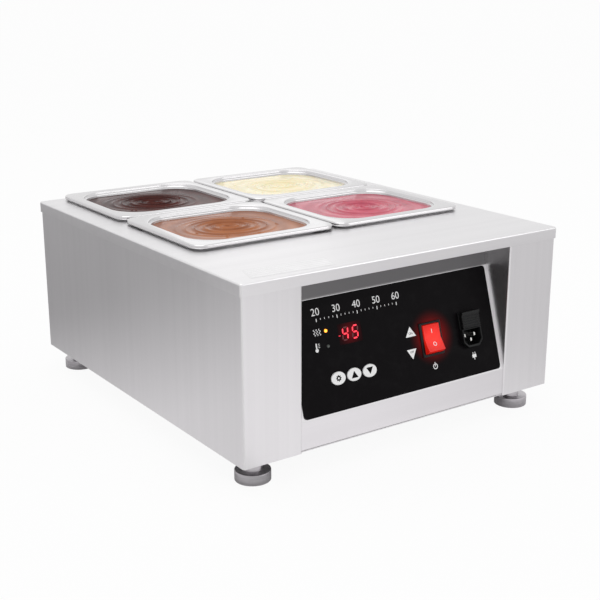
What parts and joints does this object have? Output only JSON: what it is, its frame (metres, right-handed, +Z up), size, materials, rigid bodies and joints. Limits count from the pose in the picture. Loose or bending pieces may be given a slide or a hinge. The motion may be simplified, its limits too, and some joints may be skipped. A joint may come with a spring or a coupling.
{
  "type": "chocolate tempering machine",
  "caption": "Table-top heated chocolate tempering machine with lift-out pans in a folded steel case and a sloping control panel in a front recess.",
  "frame": {"origin": "on the table, under the middle of the cover", "axes": "+Z up, the control panel faces -Y, +X is to the right of someone who faces the panel"},
  "size_m": [0.41, 0.46, 0.215],
  "materials": {
    "cover_steel": "fine brushed",
    "casing_steel": "fine brushed",
    "panel_steel": "fine brushed",
    "pan_steel": "bright pressed",
    "foot_steel": "turned",
    "tank_steel": "mill finish",
    "hidden_steel": "galvanised",
    "fastener_steel": "plated",
    "overlay_black": "satin film",
    "window_red": "tinted",
    "lamp_lit": "lit",
    "lamp_dark": "unlit",
    "key_white": "satin",
    "rocker_red": "translucent, lit",
    "housing_black": "moulded",
    "contact_metal": "nickel plated",
    "fuse_glass": "clear",
    "board_green": "soldered board",
    "component_plastic": "moulded",
    "core_iron": "laminated",
    "heater_rubber": "silicone",
    "insulation_wool": "mineral wool",
    "cutout_aluminium": "pressed",
    "dark_chocolate": "melted",
    "white_chocolate": "melted",
    "milk_chocolate": "melted",
    "pink_chocolate": "melted"
  },
  "bodies": {
    "root": {"top_cover": "cover_steel", "left_side_panel": "casing_steel", "right_side_panel": "casing_steel", "rear_panel": "casing_steel", "base_plate": "hidden_steel", "base_rails": "hidden_steel", "control_plate": "panel_steel", "panel_overlay": "overlay_black", "display_window": "window_red", "display_module": "housing_black", "display_board": "board_green", "display_board_posts": "fastener_steel", "tact_switches": "housing_black", "switch_housing": "housing_black", "switch_terminals": "contact_metal", "inlet_housing": "housing_black", "inlet_pins": "contact_metal", "heating_tank": "tank_steel", "heating_mat": "heater_rubber", "tank_insulation": "insulation_wool", "insulation_board": "insulation_wool", "tank_bridges": "hidden_steel", "temperature_probe": "contact_metal", "probe_clip": "fastener_steel", "thermal_cutout": "cutout_aluminium", "power_board": "board_green", "power_board_posts": "fastener_steel", "transformer": "core_iron", "heater_relay": "component_plastic", "terminal_block": "component_plastic", "earth_stud": "contact_metal", "foot_bolts": "fastener_steel", "tie_bolts": "fastener_steel", "base_screws": "fastener_steel", "rear_screws": "fastener_steel", "heat_lamp": "lamp_lit", "thermal_lamp": "lamp_dark", "foot_front_left": "foot_steel", "foot_front_right": "foot_steel", "foot_rear_left": "foot_steel", "foot_rear_right": "foot_steel"},
    "rocker": {"rocker": "rocker_red"},
    "set_key": {"set_key": "key_white"},
    "up_key": {"up_key": "key_white"},
    "down_key": {"down_key": "key_white"},
    "fuse_drawer": {"fuse_drawer": "housing_black", "fuse": "fuse_glass"},
    "rear_left_pan": {"rear_left_pan": "pan_steel", "dark_chocolate": "dark_chocolate"},
    "rear_right_pan": {"rear_right_pan": "pan_steel", "white_chocolate": "white_chocolate"},
    "front_left_pan": {"front_left_pan": "pan_steel", "milk_chocolate": "milk_chocolate"},
    "front_right_pan": {"front_right_pan": "pan_steel", "pink_chocolate": "pink_chocolate"}
  },
  "joints": [
    {"name": "rear_left_pan_lift", "type": "slide", "parent": "root", "child": "rear_left_pan", "axis": [0, 0, 1], "range_m": [0, 0.12]},
    {"name": "rear_right_pan_lift", "type": "slide", "parent": "root", "child": "rear_right_pan", "axis": [0, 0, 1], "range_m": [0, 0.12]},
    {"name": "front_left_pan_lift", "type": "slide", "parent": "root", "child": "front_left_pan", "axis": [0, 0, 1], "range_m": [0, 0.12]},
    {"name": "front_right_pan_lift", "type": "slide", "parent": "root", "child": "front_right_pan", "axis": [0, 0, 1], "range_m": [0, 0.12]},
    {"name": "rocker_tilt", "type": "hinge", "parent": "root", "child": "rocker", "pos_m": [0.041, -0.21182, 0.10621], "axis": [1, 0, 0], "range_deg": [0, 20]},
    {"name": "set_key_press", "type": "slide", "parent": "root", "child": "set_key", "axis": [0, 0.9556, -0.2947], "range_m": [0, 0.0006], "stiffness_N_per_m": 1500},
    {"name": "up_key_press", "type": "slide", "parent": "root", "child": "up_key", "axis": [0, 0.9556, -0.2947], "range_m": [0, 0.0006], "stiffness_N_per_m": 1500},
    {"name": "down_key_press", "type": "slide", "parent": "root", "child": "down_key", "axis": [0, 0.9556, -0.2947], "range_m": [0, 0.0006], "stiffness_N_per_m": 1500},
    {"name": "fuse_drawer_slide", "type": "slide", "parent": "root", "child": "fuse_drawer", "axis": [0, -0.9556, 0.2947], "range_m": [0, 0.02]}
  ]
}
